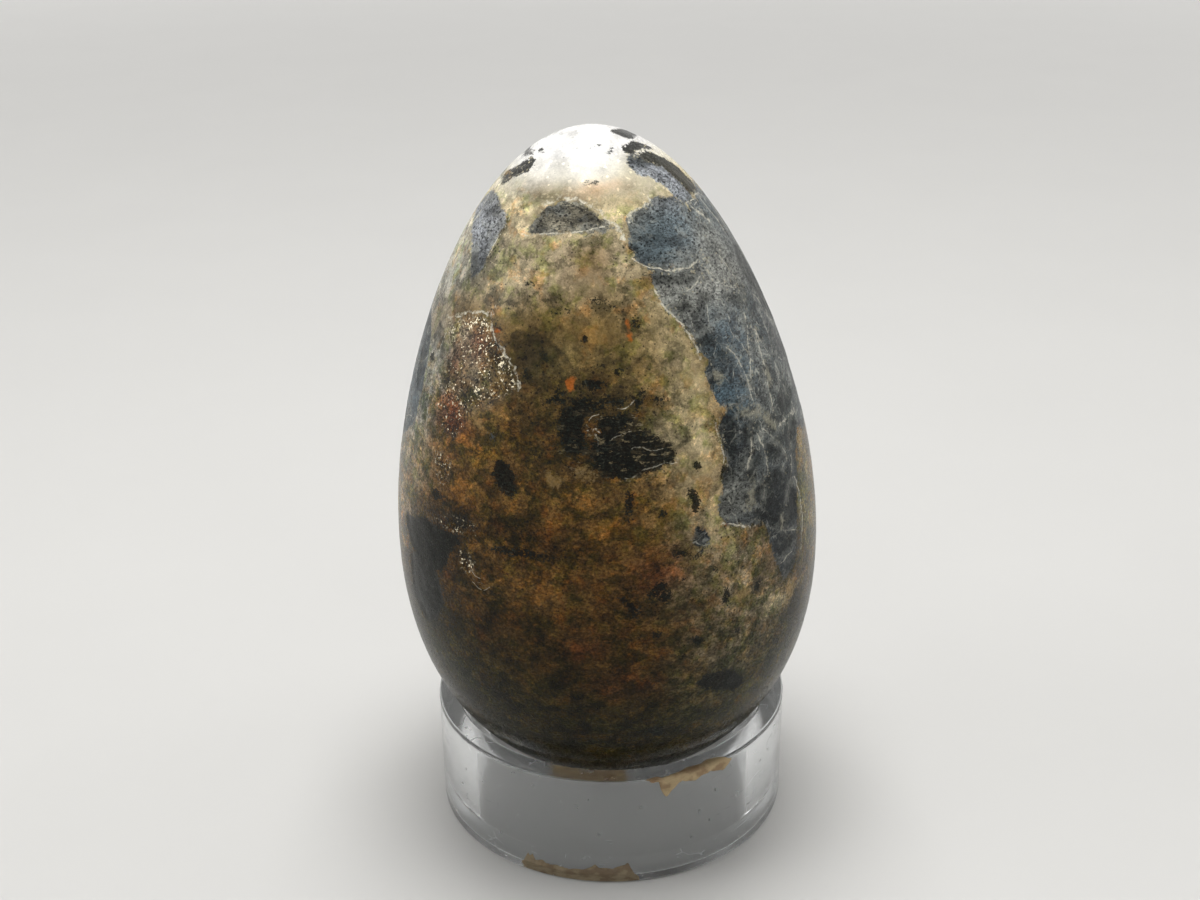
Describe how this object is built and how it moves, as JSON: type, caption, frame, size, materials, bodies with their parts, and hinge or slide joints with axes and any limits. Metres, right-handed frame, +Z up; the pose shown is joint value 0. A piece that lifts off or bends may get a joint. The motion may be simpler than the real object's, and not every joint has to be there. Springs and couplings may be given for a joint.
{
  "type": "stone egg on ring stand",
  "caption": "Polished natural stone egg that rests blunt end down in the chamfered mouth of a clear acrylic ring stand, and lifts straight out of it.",
  "frame": {"origin": "centre of the ring stand's foot, on the plane it stands on", "axes": "+Z up along the ring's bore axis, -Y towards the pictured front, +X to the right seen from the front; the egg's tip leans a little towards -X"},
  "size_m": [0.0442, 0.0442, 0.0749],
  "materials": {
    "clear_acrylic": "clear and polished, with fine scratches and polished edges",
    "polished_stone": "polished ochre and olive brown breccia with slate blue and black patches, pale veins and brassy flecks"
  },
  "bodies": {
    "stand": {"ring_stand": "clear_acrylic"},
    "egg": {"stone_egg": "polished_stone"}
  },
  "joints": [
    {"name": "egg_lift", "type": "slide", "parent": "stand", "child": "egg", "axis": [0, 0, 1], "range_m": [0, 0.03]}
  ]
}
